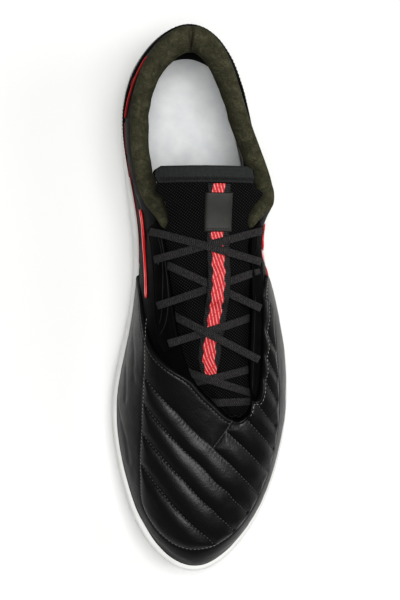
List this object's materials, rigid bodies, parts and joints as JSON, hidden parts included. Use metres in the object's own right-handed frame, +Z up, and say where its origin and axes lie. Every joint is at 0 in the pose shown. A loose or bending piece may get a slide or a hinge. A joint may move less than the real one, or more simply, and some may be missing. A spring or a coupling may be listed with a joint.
{
  "type": "indoor soccer shoe",
  "caption": "Low black indoor soccer shoe for the left foot, with a quilted leather vamp, padded suede collar, laced tongue and flat white cupped sole.",
  "frame": {"origin": "centre of the bounding box in plan, on the floor that the sole stands on", "axes": "+Z up, -Y towards the toe, +Y towards the heel, -X towards the medial side, +X lateral"},
  "size_m": [0.0958, 0.2885, 0.0916],
  "materials": {
    "white_rubber": "satin, smooth side wall",
    "outsole_rubber": "matt non-marking rubber",
    "quarter_synthetic": "black synthetic leather, satin",
    "vamp_leather": "soft black leather, semi-gloss",
    "stay_synthetic": "charcoal synthetic leather, satin",
    "counter_synthetic": "black synthetic leather, satin",
    "collar_suede": "dark olive suede, napped",
    "tongue_mesh": "black fine mesh, matt",
    "binding_knit": "charcoal knit binding, matt",
    "red_tape": "red woven tape",
    "label_rubber": "charcoal, matt, bare",
    "insole_fabric": "white brushed cloth",
    "lace_fabric": "flat woven lace, matt"
  },
  "bodies": {
    "root": {"midsole": "white_rubber", "outsole": "outsole_rubber", "upper": "quarter_synthetic", "vamp": "vamp_leather", "eyestay_medial": "stay_synthetic", "eyestay_lateral": "stay_synthetic", "heel_counter": "counter_synthetic", "collar": "collar_suede", "tongue": "tongue_mesh", "tongue_binding": "binding_knit", "tongue_tape": "red_tape", "tongue_label": "label_rubber", "insole": "insole_fabric", "lace_crossing_1": "lace_fabric", "lace_crossing_2": "lace_fabric", "lace_crossing_3": "lace_fabric", "lace_crossing_4": "lace_fabric", "lace_bar": "lace_fabric"}
  },
  "joints": []
}
